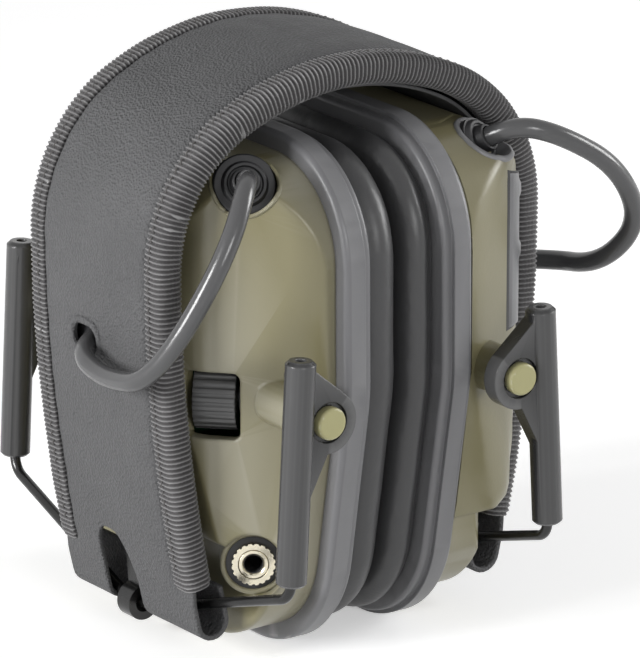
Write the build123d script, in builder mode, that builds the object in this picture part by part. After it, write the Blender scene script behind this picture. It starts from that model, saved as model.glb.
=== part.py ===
from build123d import *
import math
import os

# Folding electronic hearing protector, stored folded, in millimetres.
# X runs from ear to ear, Y across the width of the headband, Z up from the surface it stands on.

os.makedirs("parts", exist_ok=True)

# ---------------------------------------------------------------- driving dimensions
# headband: an arch of three arcs, given by its outer face
band_top = 113.0
band_half_span = 43.5
band_end_z = 8.7
band_end_half = 35.3
crown_radius = 58.0
crown_half = 26.0
band_width = 43.0
band_shift = -3.0
skin = 1.0
pocket = 3.9
strip_thick = 0.8
lining_thick = 0.5
edge_wide = 4.4
edge_thick = 4.4
strip_wide = 15.0

# folded end of the headband cover, which wraps the yoke wire
loop_rise = 27.0
arch_half = 5.4
arch_top = 22.0
pad_end_z = 23.5
binding_end_z = 19.0

# yoke wire and the eye that it turns in
wire_dia = 2.0
fold_x = 32.4
fold_z = 7.2
eye_dia = 7.0
eye_bore = 3.8
eye_wide = 4.0
eye_tail_z = 35.0
eye_tail_thick = 0.9
rivet_dia = 1.6
rivet_head = 2.6
leg_y = 45.8
leg_foot = (29.9, 20.3)
leg_lean = 3.0
leg_long = 42.0
leg_bend = 4.0
apex_half = 4.5
apex_bend = 6.0

# sliders that carry the cups on the wire
tube_dia = 5.8
tube_long = 43.0
tube_lift = 2.7
slide_gap = 0.05
eye_plate = 3.4
pivot_x = 22.0
pivot_z = 53.2
pivot_ring_dia = 12.0
stud_dia = 3.6
stud_cap_dia = 6.2
stud_cap_thick = 1.9
stud_gap = 0.05
stud_end = 36.0
cap_recess = 0.9

# cups: outline of the rim plate as the hull of three pairs of discs
mouth_x = 8.2
plate_thick = 6.4
cup_discs = ((20.2, 78.8, 22.0), (2.4, 57.0, 40.0), (13.0, 24.0, 24.0))
shell_inset = 3.4
shell_wall = 2.2
dome_under_band = 7.6
skirt_depth = 10.5
skirt_top = 25.0
dome_edge = 1.2
facet_start = 2.0
facet_trim = 0.25
facet_step = 2.9
facet_bevel = 8.0
plate_opening_inset = 12.5
cushion_inset = 3.0
cushion_wide = 15.5
cushion_gap = 0.3
lip_thick = 2.0
lip_inset = 0.9
spigot_deep = 1.2
spigot_wall = 1.5
plate_edge = 1.2
post_spots = ((29.5, 68.0), (20.0, 33.0))
post_dia = 6.0
screw_dia = 2.0
screw_head_dia = 4.2
screw_long = 9.0
baffle_x = 15.4
baffle_thick = 1.4
foam_x = 10.4
foam_thick = 4.2
foam_inset = 14.5
speaker_dia = 28.0
cushion_round = 3.6

# volume wheel, jack and glands
wheel_dia = 13.0
wheel_wide = 8.0
wheel_in = 11.7
wheel_y = -23.8
wheel_z = 52.0
wheel_depth = 7.4
wheel_turn = 45.0
wheel_shaft = 3.0
window_wide = 10.5
window_high = 13.0
jack_at = (25.0, -27.2, 21.0)
jack_turn = 56.0
jack_boss_dia = 12.4
jack_nut_dia = 8.2
jack_neck_dia = 5.8
jack_body_dia = 7.0
jack_bore_dia = 3.5
jack_depth = 12.0
gland_at = (26.0, -26.6, 94.8)
gland_dia = 8.4
gland_recess_dia = 12.0
cable_dia = 3.8
gland_recess = 3.5
gland_wall = 1.5
board_thick = 1.4
board_wide = 47.0
board_low = 37.0
board_high = 70.0
control_dia = 7.0
capacitor_dia = 5.0
capacitor_spots = ((-4.0, 62.0), (-4.0, 42.0))
cable_slot_wide = 8.0
cable_slot_high = 5.4

# battery side of the right cup
door_low = 58.0
door_high = 92.0
door_half = 29.0
door_thick = 1.5
door_proud = 0.5
door_gap = 0.25
hatch_half = 25.0
rib_spots = (72.0, 84.0)
rib_high = 2.8
rib_proud = 0.5
battery_dia = 10.5
battery_long = 44.5
battery_spots = (65.0, 76.0)
tray_wall = 1.3
tray_deep = 7.0
contact_spring_dia = 4.4
slit_z = 61.5

# small clearances
clear = 0.3
fit_gap = 0.1


# ---------------------------------------------------------------- shared geometry
corner_slope = math.asin(crown_half / crown_radius)
corner_radius = (band_half_span - crown_half) / (1 - math.sin(corner_slope))
corner_x = band_half_span - corner_radius
crown_z = band_top - crown_radius
corner_z = crown_z + (crown_radius - corner_radius) * math.cos(corner_slope)
side_drop = corner_z - band_end_z
side_in = band_half_span - band_end_half
side_radius = (side_drop**2 + side_in**2) / (2 * side_in)
side_x = band_half_span - side_radius
band_thick = skin + pocket + strip_thick + lining_thick
wheel_at = (band_half_span - wheel_in, wheel_y, wheel_z)
facet_far = battery_long / 2 - facet_trim
facet_flat = facet_far - facet_bevel


def arch_points(depth, low_z):
    """Right half of the arch at a depth under the outer face: crown, shoulder, side and end points."""
    crown = (0, band_top - depth)
    r1 = crown_radius - depth
    r2 = corner_radius - depth
    r3 = side_radius - depth
    shoulder = (r1 * math.sin(corner_slope), crown_z + r1 * math.cos(corner_slope))
    half = corner_slope / 2
    crown_mid = (r1 * math.sin(half), crown_z + r1 * math.cos(half))
    mid = (corner_slope + math.pi / 2) / 2
    corner_mid = (corner_x + r2 * math.sin(mid), corner_z + r2 * math.cos(mid))
    side = (corner_x + r2, corner_z)
    low = math.asin((corner_z - low_z) / r3)
    side_mid = (side_x + r3 * math.cos(low / 2), corner_z - r3 * math.sin(low / 2))
    end = (side_x + r3 * math.cos(low), low_z)
    return crown, crown_mid, shoulder, corner_mid, side, side_mid, end


def flip(point):
    return (-point[0], point[1])


def arch_line(depth, low_z):
    """Draws the whole arch, from its left end to its right end."""
    crown, crown_mid, shoulder, corner_mid, side, side_mid, end = arch_points(depth, low_z)
    ThreePointArc(flip(end), flip(side_mid), flip(side))
    ThreePointArc(flip(side), flip(corner_mid), flip(shoulder))
    ThreePointArc(flip(shoulder), crown, shoulder)
    ThreePointArc(shoulder, corner_mid, side)
    ThreePointArc(side, side_mid, end)
    return end


def arch_layer(outer, inner, low_z):
    """Sketch of one layer of the headband between two depths."""
    with BuildSketch() as layer:
        with BuildLine():
            a = arch_line(outer, low_z)
            b = arch_line(inner, low_z)
            Line(a, b)
            Line(flip(a), flip(b))
        make_face()
    return layer.sketch


def cup_outline(inset):
    """Sketch of the cup's outline, drawn in from the rim plate's edge."""
    with BuildSketch() as outline:
        for y, z, r in cup_discs:
            with Locations((y, z), (-y, z)):
                Circle(r - inset)
        make_hull()
    return outline.sketch


def save(builder, name):
    builder.part.label = name
    export_step(builder.part, "parts/" + name + ".step")


def save_shape(shape, name):
    shape.label = name
    export_step(shape, "parts/" + name + ".step")


def both_sides(builder, name):
    """Writes the right piece and its mirror image for the left cup."""
    save_shape(builder.part, "right_" + name)
    save_shape(mirror(builder.part, about=Plane.YZ), "left_" + name)


# ---------------------------------------------------------------- headband
pad_groove = eye_wide + 0.6
half_wide = band_width / 2
band_plane = Plane.XZ.offset(-band_shift)
core_half = half_wide - edge_wide


with BuildPart() as arch_cut:
    with BuildSketch(Plane.YZ):
        with Locations((0, fold_z)):
            Ellipse(arch_half, arch_top - fold_z)
        with Locations((0, fold_z - 10)):
            Rectangle(2 * arch_half, 20)
    extrude(amount=60, both=True)


def end_loop(side):
    """Sketch of the cover's turned-in end: round under the wire and up the inside."""
    under = band_thick + fit_gap
    outer, outer_in = (arch_points(d, band_end_z)[-1] for d in (0, skin))
    back, back_in = (arch_points(d, band_end_z)[-1] for d in (under, under + skin))
    top, top_in = (arch_points(d, loop_rise)[-1] for d in (under, under + skin))
    low = ((outer[0] + back_in[0]) / 2, band_end_z - (outer[0] - back_in[0]) / 2)
    low_in = ((outer_in[0] + back[0]) / 2, band_end_z - (outer_in[0] - back[0]) / 2)
    with BuildSketch() as loop:
        with BuildLine():
            ThreePointArc(outer, low, back_in)
            ThreePointArc(outer_in, low_in, back)
            Line(outer, outer_in)
            Line(back_in, top_in)
            Line(top_in, top)
            Line(top, back)
        make_face()
        if side < 0:
            mirror(about=Plane.YZ, mode=Mode.REPLACE)
    return loop.sketch


with BuildPart() as cover:
    with BuildSketch(band_plane):
        add(arch_layer(0, skin, band_end_z))
        add(end_loop(1))
        add(end_loop(-1))
    extrude(amount=core_half, both=True)
    with BuildSketch(band_plane) as ends:
        add(arch_layer(0, skin, band_end_z))
        with Locations((0, binding_end_z - 50)):
            Rectangle(200, 100, mode=Mode.INTERSECT)
        add(end_loop(1))
        add(end_loop(-1))
    extrude(amount=half_wide - 0.6, both=True)
    add(arch_cut.part, mode=Mode.SUBTRACT)
    with BuildSketch(Plane.YZ):
        with Locations((0, slit_z)):
            SlotOverall(cable_slot_wide, cable_slot_high)
    extrude(amount=60, both=True, mode=Mode.SUBTRACT)
save(cover, "headband_cover")

with BuildPart() as pad:
    with BuildSketch(band_plane):
        add(arch_layer(skin, skin + pocket, pad_end_z))
    extrude(amount=core_half, both=True)
    with BuildSketch(Plane.XY):
        Rectangle(200, pad_groove)
    extrude(amount=200, mode=Mode.SUBTRACT)
    with BuildSketch(Plane.YZ):
        with Locations((0, slit_z)):
            Rectangle(cable_slot_wide + 1.0, cable_slot_wide + 1.0)
    extrude(amount=60, both=True, mode=Mode.SUBTRACT)
save(pad, "headband_pad")

rivet_spots = (pad_end_z + 3.0, pad_end_z + 8.0)

with BuildPart() as strip:
    with BuildSketch(Plane.XZ):
        add(arch_layer(skin + pocket, skin + pocket + strip_thick, pad_end_z))
    extrude(amount=strip_wide / 2, both=True)
    with BuildSketch(Plane.YZ):
        for z in rivet_spots:
            with Locations((0, z)):
                Circle(rivet_dia / 2 + fit_gap)
    extrude(amount=60, both=True, mode=Mode.SUBTRACT)
save(strip, "headband_spring")

with BuildPart() as lining:
    with BuildSketch(band_plane):
        add(arch_layer(skin + pocket + strip_thick, band_thick, pad_end_z))
    extrude(amount=core_half, both=True)
save(lining, "headband_lining")


def binding(side):
    """Sewn edge binding along one long edge of the headband, rounded on its outer edge."""
    with BuildPart() as edge:
        with BuildSketch(Plane.XZ.offset(-side * core_half - band_shift)):
            add(arch_layer(0, edge_thick, binding_end_z + clear))
        extrude(amount=-side * edge_wide)
        rim = edge.faces().sort_by(Axis.Y)[-1 if side > 0 else 0]
        fillet(rim.edges().filter_by(GeomType.CIRCLE), edge_thick / 2 - 0.4)
    return edge


save(binding(-1), "front_binding")
save(binding(1), "rear_binding")

with BuildPart() as band_cable:
    with BuildLine(Plane.XZ) as run:
        arch_line(skin + cable_dia / 2 + fit_gap / 2, slit_z + cable_slot_high / 2 + 0.6)
    with BuildSketch(Plane(run.wire() @ 0, z_dir=run.wire() % 0)):
        Circle(cable_dia / 2)
    sweep()
save(band_cable, "band_cable")


# ---------------------------------------------------------------- hinge eyes at the band ends
with BuildPart() as eye:
    with BuildSketch(Plane.XZ):
        tail_depth = skin + pocket - eye_tail_thick / 2 - fit_gap
        tail_low, tail_mid, tail_end = (
            arch_points(tail_depth, z)[-1]
            for z in (arch_top, (arch_top + eye_tail_z) / 2, eye_tail_z)
        )
        tail_root = (fold_x + 0.4, fold_z + eye_dia / 2 - eye_tail_thick / 2)
        with BuildLine() as tail:
            Line(tail_root, tail_low)
            ThreePointArc(tail_low, tail_mid, tail_end)
        trace(line_width=eye_tail_thick)
        with Locations((fold_x, fold_z)):
            Circle(eye_dia / 2)
            Circle(eye_bore / 2, mode=Mode.SUBTRACT)
    extrude(amount=eye_wide / 2, both=True)
    with BuildSketch(Plane.YZ):
        for z in rivet_spots:
            with Locations((0, z)):
                Circle(rivet_dia / 2 + fit_gap)
    extrude(amount=60, mode=Mode.SUBTRACT)
both_sides(eye, "hinge_eye")

with BuildPart() as rivets:
    rivet_stand = 0.35
    for z in rivet_spots:
        seat = arch_points(skin + pocket - eye_tail_thick - fit_gap, z)[-1]
        under_head = Plane(origin=(seat[0] + rivet_stand, 0, z), z_dir=(-1, 0, 0))
        with BuildSketch(under_head):
            Circle(rivet_dia / 2)
        extrude(amount=rivet_stand + eye_tail_thick + strip_thick)
        with BuildSketch(under_head):
            Circle(rivet_head / 2)
        extrude(amount=-0.6)
both_sides(rivets, "eye_rivets")

# ---------------------------------------------------------------- yoke wires
lean = math.radians(leg_lean)
foot_x, foot_z = leg_foot
leg_dir = (-math.sin(lean), math.cos(lean))


def on_leg(up):
    """Point on a yoke leg's axis, that far above its foot."""
    return (foot_x + up * leg_dir[0], foot_z + up * leg_dir[1])


with BuildPart() as yoke:
    with BuildLine() as wire:
        tip_x, tip_z = on_leg(leg_long)
        route = [
            (tip_x, -leg_y, tip_z),
            (foot_x, -leg_y, foot_z),
            (fold_x, -apex_half, fold_z),
            (fold_x, apex_half, fold_z),
            (foot_x, leg_y, foot_z),
            (tip_x, leg_y, tip_z),
        ]
        FilletPolyline(*route, radius=[leg_bend, apex_bend, apex_bend, leg_bend])
    with BuildSketch(Plane(wire.wire() @ 0, z_dir=wire.wire() % 0)):
        Circle(wire_dia / 2)
    sweep()
both_sides(yoke, "yoke_wire")

# ---------------------------------------------------------------- sliders and pivot studs
arm_y = leg_y - 0.35
arm_in = arm_y - eye_plate / 2
arm_out = arm_y + eye_plate / 2
tube_low = on_leg(tube_lift)
leg_plane = Plane(origin=(tube_low[0], leg_y, tube_low[1]), z_dir=(leg_dir[0], 0, leg_dir[1]))

with BuildPart() as slider:
    with BuildSketch(leg_plane):
        Circle(tube_dia / 2)
    extrude(amount=tube_long)
    ends = slider.edges().filter_by(GeomType.CIRCLE).sort_by(Axis.Z)
    chamfer(ends[-1], 0.7)
    chamfer(ends[0], 0.5)
    with BuildSketch(Plane.XZ.offset(-arm_out)):
        arm_top = on_leg(tube_lift + tube_long - 3.0)
        with Locations((pivot_x, pivot_z)):
            Circle(pivot_ring_dia / 2)
        with Locations(arm_top):
            Circle(2.2)
        make_hull()
    with BuildSketch(Plane.XZ.offset(-arm_out)) as web:
        web_foot = on_leg(tube_lift + 14.0)
        with Locations((pivot_x + 2.4, pivot_z - 2.0)):
            Circle(3.6)
        with Locations(web_foot):
            Circle(1.2)
        make_hull()
    extrude(amount=eye_plate)
    with BuildSketch(Plane.XZ.offset(-arm_out)):
        with Locations((pivot_x, pivot_z)):
            Circle(stud_cap_dia / 2 + 0.8)
    extrude(amount=cap_recess, mode=Mode.SUBTRACT)
    with BuildSketch(Plane.XZ.offset(-arm_out)):
        with Locations((pivot_x, pivot_z)):
            Circle(stud_dia / 2 + stud_gap)
    extrude(amount=eye_plate, mode=Mode.SUBTRACT)
    with BuildSketch(leg_plane):
        Circle(wire_dia / 2 + slide_gap)
    extrude(amount=tube_long, mode=Mode.SUBTRACT)

cap_floor = arm_out - cap_recess
boss_face = arm_in - 0.4
boss_dia = 9.2

with BuildPart() as stud:
    with BuildSketch(Plane.XZ.offset(-cap_floor - fit_gap)):
        with Locations((pivot_x, pivot_z)):
            Circle(stud_cap_dia / 2)
    extrude(amount=-stud_cap_thick)
    rim = stud.faces().sort_by(Axis.Y)[-1]
    fillet(rim.edges(), 0.6)
    with BuildSketch(Plane.XZ.offset(-cap_floor - fit_gap)):
        with Locations((pivot_x, pivot_z)):
            Circle(stud_dia / 2)
    extrude(amount=cap_floor - stud_end)

for side, part in (("right", slider.part), ("left", mirror(slider.part, about=Plane.YZ))):
    save_shape(part, side + "_rear_slider")
    save_shape(mirror(part, about=Plane.XZ), side + "_front_slider")
for side, part in (("right", stud.part), ("left", mirror(stud.part, about=Plane.YZ))):
    save_shape(part, side + "_rear_stud")
    save_shape(mirror(part, about=Plane.XZ), side + "_front_stud")

# ---------------------------------------------------------------- cups
plate_back = mouth_x + plate_thick
skirt_x = plate_back + skirt_depth
cup_half = max(y + r for y, z, r in cup_discs)


def dome(inset, depth, rounding):
    """Solid cup body: the outline pushed out, then cut to a side profile and to a plan with facets."""
    outer = skirt_x - depth
    with BuildPart() as body:
        with BuildSketch(Plane.YZ.offset(plate_back)):
            add(cup_outline(inset))
        extrude(amount=40)
        with BuildSketch(Plane.XZ):
            crown, crown_mid, shoulder, corner_mid, side, side_mid, end = arch_points(
                dome_under_band + depth, skirt_top + depth
            )
            with BuildLine():
                ThreePointArc(crown, crown_mid, shoulder)
                ThreePointArc(shoulder, corner_mid, side)
                ThreePointArc(side, side_mid, end)
                Polyline(end, (outer, skirt_top + depth - 3.0), (outer, -5), (0, -5), crown)
            make_face()
        extrude(amount=60, both=True, mode=Mode.INTERSECT)
        with BuildSketch(Plane.XY) as plan:
            half = cup_half - inset + 0.3
            far_x = side[0] + 0.2
            slide = depth * 0.6
            with BuildLine():
                Polyline((0, -half), (plate_back + facet_start, -half),
                         (far_x - facet_step, slide - facet_far), (far_x, slide - facet_flat),
                         (far_x, facet_flat - slide), (far_x - facet_step, facet_far - slide),
                         (plate_back + facet_start, half), (0, half), close=True)
            make_face()
            bends = plan.vertices().filter_by(lambda v: v.X > plate_back)
            fillet(bends.filter_by(lambda v: v.X < plate_back + 4), 5.0)
            bends = plan.vertices().filter_by(lambda v: plate_back + 10 < v.X < far_x - 1)
            fillet(bends, 8.0)
        extrude(amount=120, mode=Mode.INTERSECT)
        if rounding:
            sharp = body.edges().filter_by(lambda e: e.center().X > plate_back + 1)
            fillet(sharp, rounding)
    return body.part


pivot_bore = stud_dia / 2 + stud_gap
boss_root = 30.0
baffle_back = baffle_x + baffle_thick
gland_dir = Vector(0.40, -0.76, 0.51).normalized()
gland_point = Vector(*gland_at)
gland_floor = Plane(origin=gland_point - gland_dir * gland_recess, z_dir=gland_dir)


def shell_base():
    """Hollow cup shell with its pivot bosses, screw posts and cable gland seat."""
    solid = dome(shell_inset, 0, dome_edge)
    hollow = dome(shell_inset + shell_wall, shell_wall, 0)
    with BuildPart() as seats:
        with BuildSketch(gland_floor.offset(-gland_wall)):
            Circle(gland_recess_dia / 2 + gland_wall)
        extrude(amount=12)
        with BuildSketch(Plane.YZ.offset(baffle_back)):
            for y, z in post_spots:
                with Locations((y, z), (-y, z)):
                    Circle(post_dia / 2)
        extrude(amount=30)
        add(solid, mode=Mode.INTERSECT)
    with BuildPart() as body:
        add(solid)
        add(hollow, mode=Mode.SUBTRACT)
        add(seats.part)
        for front in (1, -1):
            with BuildSketch(Plane.XZ.offset(front * boss_face)):
                with Locations((pivot_x, pivot_z)):
                    Circle(boss_dia / 2)
            extrude(amount=-front * (boss_face - boss_root))
            with BuildSketch(Plane.XZ.offset(front * boss_face)):
                with Locations((pivot_x, pivot_z)):
                    Circle(pivot_bore)
            extrude(amount=-front * (boss_face - stud_end + clear), mode=Mode.SUBTRACT)
        with BuildSketch(gland_floor):
            Circle(gland_recess_dia / 2)
        extrude(amount=20, mode=Mode.SUBTRACT)
        with BuildSketch(Plane.YZ.offset(baffle_back)):
            for y, z in post_spots:
                with Locations((y, z), (-y, z)):
                    Circle(screw_dia / 2)
        extrude(amount=screw_long - baffle_thick, mode=Mode.SUBTRACT)
    return body.part


with BuildPart() as base_shell:
    add(shell_base())

with BuildPart() as plate:
    with BuildSketch(Plane.YZ.offset(mouth_x)):
        add(cup_outline(lip_inset))
        add(cup_outline(plate_opening_inset), mode=Mode.SUBTRACT)
    extrude(amount=lip_thick)
    with BuildSketch(Plane.YZ.offset(mouth_x + lip_thick)):
        add(cup_outline(0))
        add(cup_outline(plate_opening_inset), mode=Mode.SUBTRACT)
    extrude(amount=plate_thick - lip_thick)
    backs = plate.faces().filter_by(Plane.YZ).sort_by(Axis.X)[-1]
    fillet(backs.outer_wire().edges(), plate_edge)
    fronts = plate.faces().filter_by(Plane.YZ).sort_by(Axis.X)[0]
    fillet(fronts.outer_wire().edges(), 0.8)
    with BuildSketch(Plane.YZ.offset(plate_back)):
        add(cup_outline(shell_inset + shell_wall + fit_gap))
        add(cup_outline(shell_inset + shell_wall + fit_gap + spigot_wall), mode=Mode.SUBTRACT)
    extrude(amount=spigot_deep)
both_sides(plate, "rim_plate")

with BuildPart() as cushion:
    with BuildSketch(Plane.YZ.offset(cushion_gap)):
        add(cup_outline(cushion_inset))
        add(cup_outline(cushion_inset + cushion_wide), mode=Mode.SUBTRACT)
    extrude(amount=mouth_x - cushion_gap)
    face = cushion.faces().filter_by(Plane.YZ).sort_by(Axis.X)[0]
    fillet(face.edges(), cushion_round)
both_sides(cushion, "ear_cushion")

with BuildPart() as foam:
    with BuildSketch(Plane.YZ.offset(foam_x)):
        add(cup_outline(foam_inset))
        with Locations((0, pivot_z)):
            Circle(speaker_dia / 2 + clear, mode=Mode.SUBTRACT)
    extrude(amount=foam_thick)
both_sides(foam, "foam_insert")

with BuildPart() as speaker:
    with BuildSketch(Plane.YZ.offset(foam_x + 0.4)):
        with Locations((0, pivot_z)):
            Circle(speaker_dia / 2)
    extrude(amount=baffle_x - foam_x - 0.4)
    with BuildSketch(Plane.YZ.offset(foam_x + 0.4)):
        with Locations((0, pivot_z)):
            with PolarLocations(8.0, 8):
                Circle(1.5)
            Circle(1.5)
    extrude(amount=0.8, mode=Mode.SUBTRACT)
both_sides(speaker, "speaker")

wheel_out = Vector(math.cos(math.radians(wheel_turn)), -math.sin(math.radians(wheel_turn)), 0)
wheel_mid = Vector(*wheel_at) - wheel_out * wheel_depth
wheel_axis = Vector(-wheel_out.Y, wheel_out.X, 0)
wheel_side = Plane(origin=wheel_mid - wheel_axis * (wheel_wide / 2), z_dir=wheel_axis)
jack_out = Vector(math.cos(math.radians(jack_turn)), -math.sin(math.radians(jack_turn)), 0)
jack_tip = Plane(origin=Vector(*jack_at), z_dir=jack_out)
jack_floor = Plane(origin=Vector(*jack_at) - jack_out * jack_depth, z_dir=jack_out)


def baffle_plate(side):
    """Inner panel that carries the speaker; the left one is notched for the jack."""
    with BuildPart() as panel:
        with BuildSketch(Plane.YZ.offset(baffle_x)):
            add(cup_outline(shell_inset + shell_wall + fit_gap + spigot_wall + fit_gap))
            for y, z in post_spots:
                with Locations((y, z), (-y, z)):
                    Circle(screw_dia / 2, mode=Mode.SUBTRACT)
        extrude(amount=baffle_thick)
        if side < 0:
            with BuildSketch(jack_floor.offset(-clear)):
                Circle(jack_body_dia / 2 + clear)
            extrude(amount=jack_depth, mode=Mode.SUBTRACT)
    return panel.part


save_shape(baffle_plate(1), "right_baffle")
save_shape(mirror(baffle_plate(-1), about=Plane.YZ), "left_baffle")

with BuildPart() as screws:
    for y, z in post_spots:
        for spot in ((y, z), (-y, z)):
            with BuildSketch(Plane.YZ.offset(baffle_x)):
                with Locations(spot):
                    Circle(screw_dia / 2 - 0.05)
            extrude(amount=screw_long)
            with BuildSketch(Plane.YZ.offset(baffle_x)):
                with Locations(spot):
                    Circle(screw_head_dia / 2)
            extrude(amount=-0.7)
both_sides(screws, "cup_screws")

with BuildPart() as gland:
    with BuildSketch(gland_floor):
        Circle(gland_dia / 2)
    extrude(amount=gland_recess)
    fillet(gland.edges().filter_by(GeomType.CIRCLE).sort_by(SortBy.DISTANCE)[-1], 1.2)
both_sides(gland, "cable_gland")

# ---------------------------------------------------------------- left cup: volume wheel, jack and board
with BuildPart() as left_shell:
    add(base_shell.part)
    with BuildSketch(Plane(origin=Vector(*wheel_at), x_dir=wheel_axis, z_dir=wheel_out)) as window:
        Rectangle(window_wide, window_high)
        fillet(window.vertices(), 1.5)
    extrude(amount=4, both=True, mode=Mode.SUBTRACT)
    with BuildSketch(jack_tip):
        Circle(jack_boss_dia / 2)
    extrude(amount=10.0, mode=Mode.SUBTRACT)
    with BuildSketch(jack_tip):
        Circle(jack_boss_dia / 2)
    extrude(amount=-5.0)
    with BuildSketch(jack_tip):
        Circle(jack_neck_dia / 2 + fit_gap)
    extrude(amount=-3.0, mode=Mode.SUBTRACT)
    with BuildSketch(jack_tip.offset(-3.0)):
        Circle(jack_body_dia / 2 + fit_gap)
    extrude(amount=-12.0, mode=Mode.SUBTRACT)
save_shape(mirror(left_shell.part, about=Plane.YZ), "left_shell")

with BuildPart() as wheel:
    with BuildSketch(wheel_side):
        Circle(wheel_dia / 2)
        with PolarLocations(wheel_dia / 2 + 0.25, 24):
            Circle(0.55, mode=Mode.SUBTRACT)
    extrude(amount=wheel_wide)
    with BuildSketch(wheel_side):
        Circle(wheel_shaft / 2 + slide_gap)
    extrude(amount=wheel_wide, mode=Mode.SUBTRACT)
save_shape(mirror(wheel.part, about=Plane.YZ), "volume_wheel")

control_base = wheel_side.offset(-clear)
with BuildPart() as control:
    with BuildSketch(control_base):
        Circle(wheel_shaft / 2)
    extrude(amount=wheel_wide + clear)
    with BuildSketch(control_base):
        Circle(control_dia / 2)
    extrude(amount=-2.5)
    with BuildSketch(Plane.YZ.offset(baffle_back + board_thick)):
        for step in (-2.0, 0, 2.0):
            with Locations((control_base.origin.Y, wheel_mid.Z + step)):
                Circle(0.5)
    extrude(amount=2.8)
save_shape(mirror(control.part, about=Plane.YZ), "volume_control")

with BuildPart() as jack:
    with BuildSketch(jack_floor):
        Circle(jack_body_dia / 2)
    extrude(amount=jack_depth - 3.0)
    with BuildSketch(jack_tip.offset(0.9)):
        Circle(jack_neck_dia / 2)
    extrude(amount=-3.9)
    with BuildSketch(jack_tip.offset(0.9)):
        Circle(jack_bore_dia / 2)
    extrude(amount=-jack_depth, mode=Mode.SUBTRACT)
save_shape(mirror(jack.part, about=Plane.YZ), "jack_socket")

with BuildPart() as nut:
    with BuildSketch(jack_tip):
        Circle(jack_nut_dia / 2)
        Circle(jack_neck_dia / 2 + 0.02, mode=Mode.SUBTRACT)
        with PolarLocations(jack_nut_dia / 2 + 0.1, 20):
            Circle(0.35, mode=Mode.SUBTRACT)
    extrude(amount=1.3)
save_shape(mirror(nut.part, about=Plane.YZ), "jack_nut")

with BuildPart() as board:
    with BuildSketch(Plane.YZ.offset(baffle_back)):
        with Locations((-1.5, (board_low + board_high) / 2)):
            Rectangle(board_wide, board_high - board_low)
    extrude(amount=board_thick)
    with BuildSketch(Plane.YZ.offset(baffle_back + board_thick)):
        with Locations((8.0, 44.0)):
            Rectangle(9, 9)
        with Locations((10.0, 60.0)):
            Rectangle(12, 6)
    extrude(amount=1.6)
    with BuildSketch(Plane.YZ.offset(baffle_back + board_thick)):
        with Locations(*capacitor_spots):
            Circle(capacitor_dia / 2)
    extrude(amount=5.0)
save_shape(mirror(board.part, about=Plane.YZ), "circuit_board")

# ---------------------------------------------------------------- right cup: batteries and their door
door_mid = (door_low + door_high) / 2
with BuildPart() as right_shell:
    add(base_shell.part)
    with BuildPart(mode=Mode.PRIVATE) as sunk:
        with BuildSketch(Plane.YZ.offset(baffle_back + 3)):
            with Locations((0, door_mid)):
                Rectangle(2 * (door_half + door_gap), door_high - door_low + 2 * door_gap)
        extrude(amount=40)
        sink = door_thick - door_proud
        add(dome(shell_inset + sink, sink, 0), mode=Mode.SUBTRACT)
    add(sunk.part, mode=Mode.SUBTRACT)
    with BuildSketch(Plane.YZ.offset(baffle_back + 3)):
        with Locations((0, (door_low + door_high) / 2 - 0.5)):
            Rectangle(2 * hatch_half, door_high - door_low - 5)
    extrude(amount=40, mode=Mode.SUBTRACT)
save(right_shell, "right_shell")

with BuildPart() as door:
    with BuildSketch(Plane.YZ.offset(baffle_back + 3)):
        with Locations((0, door_mid)):
            Rectangle(2 * door_half, door_high - door_low)
    extrude(amount=40)
    add(dome(shell_inset - door_proud, -door_proud, 0), mode=Mode.INTERSECT)
    add(dome(shell_inset + sink - fit_gap, sink - fit_gap, 0), mode=Mode.SUBTRACT)
with BuildPart() as ribs:
    with BuildSketch(Plane.YZ.offset(baffle_back + 3)):
        for z in rib_spots:
            with Locations((0, z)):
                Rectangle(2 * door_half - 1.0, rib_high)
    extrude(amount=40)
    add(dome(shell_inset - door_proud - rib_proud, -door_proud - rib_proud, 0), mode=Mode.INTERSECT)
    add(dome(shell_inset + 0.2, 0.2, 0), mode=Mode.SUBTRACT)
with BuildPart() as battery_door:
    add(door.part)
    add(ribs.part)
    with BuildSketch(gland_floor.offset(-gland_wall - 1.0)):
        Circle(gland_recess_dia / 2 + gland_wall + door_gap)
    extrude(amount=20, mode=Mode.SUBTRACT)
save(battery_door, "battery_door")

battery_x = baffle_back + 0.2 + battery_dia / 2
tray_low = battery_spots[0] - battery_dia / 2 - 0.2
tray_high = battery_spots[1] + battery_dia / 2 + 0.2
tray_half = battery_long / 2 + 2.0
with BuildPart() as tray:
    with BuildSketch(Plane.YZ.offset(baffle_back)):
        with Locations((0, (tray_low + tray_high) / 2)):
            Rectangle(2 * (tray_half + tray_wall), tray_high - tray_low + 2 * tray_wall)
            Rectangle(2 * tray_half, tray_high - tray_low, mode=Mode.SUBTRACT)
    extrude(amount=tray_deep)
save(tray, "battery_tray")

with BuildPart() as batteries:
    for z in battery_spots:
        with BuildSketch(Plane.XZ.offset(-battery_long / 2 + 0.8)):
            with Locations((battery_x, z)):
                Circle(battery_dia / 2)
        extrude(amount=battery_long - 0.8)
        with BuildSketch(Plane.XZ.offset(-battery_long / 2)):
            with Locations((battery_x, z)):
                Circle(1.9)
        extrude(amount=0.8)
save(batteries, "batteries")

with BuildPart() as contacts:
    for z in battery_spots:
        for side in (1, -1):
            with BuildSketch(Plane.XZ.offset(side * tray_half)):
                with Locations((battery_x, z)):
                    Circle(battery_dia / 2 - 0.65)
            extrude(amount=-side * 0.4)
            with BuildSketch(Plane.XZ.offset(side * (tray_half - 0.4))):
                with Locations((battery_x, z)):
                    Circle(contact_spring_dia / 2)
            extrude(amount=-side * 1.6)
save(contacts, "battery_contacts")

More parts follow.
